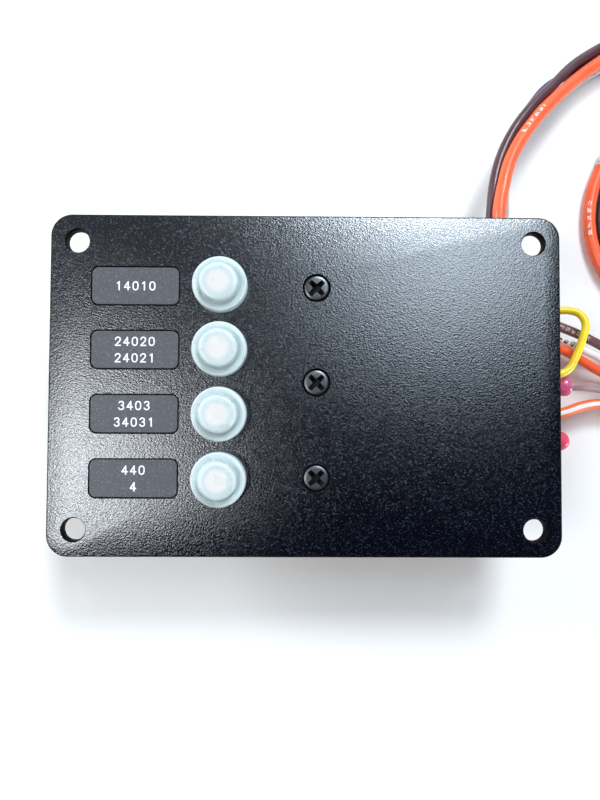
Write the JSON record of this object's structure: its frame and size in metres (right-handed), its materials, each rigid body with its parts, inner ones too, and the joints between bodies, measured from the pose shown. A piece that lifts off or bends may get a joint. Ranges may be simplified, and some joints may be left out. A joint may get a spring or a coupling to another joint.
{
  "type": "circuit breaker panel",
  "caption": "Flat rectangular circuit breaker panel with booted push-to-reset buttons beside label plates, screwed-on relays behind it and a looped harness of insulated leads.",
  "frame": {"origin": "below the panel's centre, on the surface the part lies on", "axes": "+X along the panel's long side towards the relays, +Y up the panel as mounted, +Z out of its face"},
  "size_m": [0.2732, 0.1856, 0.0437],
  "materials": {
    "panel_coat": "black leather-texture powder coat",
    "label": "charcoal satin, fine grain",
    "boot_silicone": "milky translucent silicone",
    "button_white": "white, glossy",
    "contact_copper": "copper strip with silvered contacts",
    "case_black": "black moulded phenolic",
    "rivet_brass": "brass",
    "plated_steel": "nickel plate",
    "spring_steel": "bright spring steel",
    "terminal_brass": "brass strip",
    "bus_copper": "bare copper bar",
    "connector_nylon": "clear nylon",
    "relay_black": "black moulded plastic",
    "socket_black": "black moulded plastic",
    "relay_base_brown": "dark brown moulded plastic",
    "relay_iron": "zinc-plated soft iron",
    "coil_copper": "enamelled copper winding",
    "screw_black": "black oxide",
    "wire_orange": "glossy orange-red insulation",
    "wire_brown": "glossy dark brown insulation",
    "wire_blue": "glossy navy insulation",
    "wire_white": "glossy white insulation",
    "wire_grey": "glossy grey-brown insulation",
    "wire_striped": "orange insulation with a white stripe",
    "wire_yellow": "glossy yellow insulation",
    "splice_pink": "translucent pink sleeve",
    "cap_pink": "translucent pink-red sleeve"
  },
  "bodies": {
    "panel": {"panel": "panel_coat", "label_plate_1": "label", "label_plate_2": "label", "label_plate_3": "label", "label_plate_4": "label", "boot_1": "boot_silicone", "boot_2": "boot_silicone", "boot_3": "boot_silicone", "boot_4": "boot_silicone", "breaker_case_1": "case_black", "breaker_case_2": "case_black", "breaker_case_3": "case_black", "breaker_case_4": "case_black", "breaker_covers": "case_black", "case_rivets": "rivet_brass", "threaded_necks": "plated_steel", "neck_nuts": "plated_steel", "return_springs": "spring_steel", "bimetal_blades": "spring_steel", "line_terminals": "terminal_brass", "load_terminals": "terminal_brass", "bus_bar": "bus_copper", "push_on_connectors": "connector_nylon", "relay_cover_1": "relay_black", "relay_cover_2": "relay_black", "relay_cover_3": "relay_black", "relay_socket_1": "socket_black", "relay_socket_2": "socket_black", "relay_socket_3": "socket_black", "relay_brackets": "plated_steel", "relay_bases": "relay_base_brown", "relay_blades": "terminal_brass", "relay_coils": "coil_copper", "relay_yokes": "relay_iron", "relay_screws": "screw_black", "relay_nuts": "plated_steel", "lead_orange": "wire_orange", "lead_brown": "wire_brown", "lead_blue": "wire_blue", "lead_white": "wire_white", "tail_brown": "wire_brown", "tail_white": "wire_white", "tail_orange": "wire_orange", "tail_grey": "wire_grey", "tail_striped": "wire_striped", "jumper_yellow": "wire_yellow", "splice_stubs": "wire_grey", "butt_splice": "splice_pink", "crimp_cap": "cap_pink"},
    "button_1": {"button_1": "button_white", "contact_bridge_1": "contact_copper"},
    "button_2": {"button_2": "button_white", "contact_bridge_2": "contact_copper"},
    "button_3": {"button_3": "button_white", "contact_bridge_3": "contact_copper"},
    "button_4": {"button_4": "button_white", "contact_bridge_4": "contact_copper"},
    "armature_1": {"relay_armature_1": "relay_iron"},
    "armature_2": {"relay_armature_2": "relay_iron"},
    "armature_3": {"relay_armature_3": "relay_iron"}
  },
  "joints": [
    {"name": "reset_button_1", "type": "slide", "parent": "panel", "child": "button_1", "axis": [0, 0, 1], "range_m": [0, 0.003], "deforming": ["boot_1", "return_springs"]},
    {"name": "reset_button_2", "type": "slide", "parent": "panel", "child": "button_2", "axis": [0, 0, 1], "range_m": [0, 0.003], "deforming": ["boot_2", "return_springs"]},
    {"name": "reset_button_3", "type": "slide", "parent": "panel", "child": "button_3", "axis": [0, 0, 1], "range_m": [0, 0.003], "deforming": ["boot_3", "return_springs"]},
    {"name": "reset_button_4", "type": "slide", "parent": "panel", "child": "button_4", "axis": [0, 0, 1], "range_m": [0, 0.003], "deforming": ["boot_4", "return_springs"]},
    {"name": "relay_armature_1", "type": "hinge", "parent": "panel", "child": "armature_1", "pos_m": [0.01463, 0.0291, 0.025], "axis": [0, -1, 0], "range_deg": [0, 4], "stiffness_Nm_per_rad": 0.02, "springref_deg": -2.86},
    {"name": "relay_armature_2", "type": "hinge", "parent": "panel", "child": "armature_2", "pos_m": [0.01463, 0.0008, 0.025], "axis": [0, -1, 0], "range_deg": [0, 4], "stiffness_Nm_per_rad": 0.02, "springref_deg": -2.86},
    {"name": "relay_armature_3", "type": "hinge", "parent": "panel", "child": "armature_3", "pos_m": [0.01463, -0.0275, 0.025], "axis": [0, -1, 0], "range_deg": [0, 4], "stiffness_Nm_per_rad": 0.02, "springref_deg": -2.86}
  ]
}
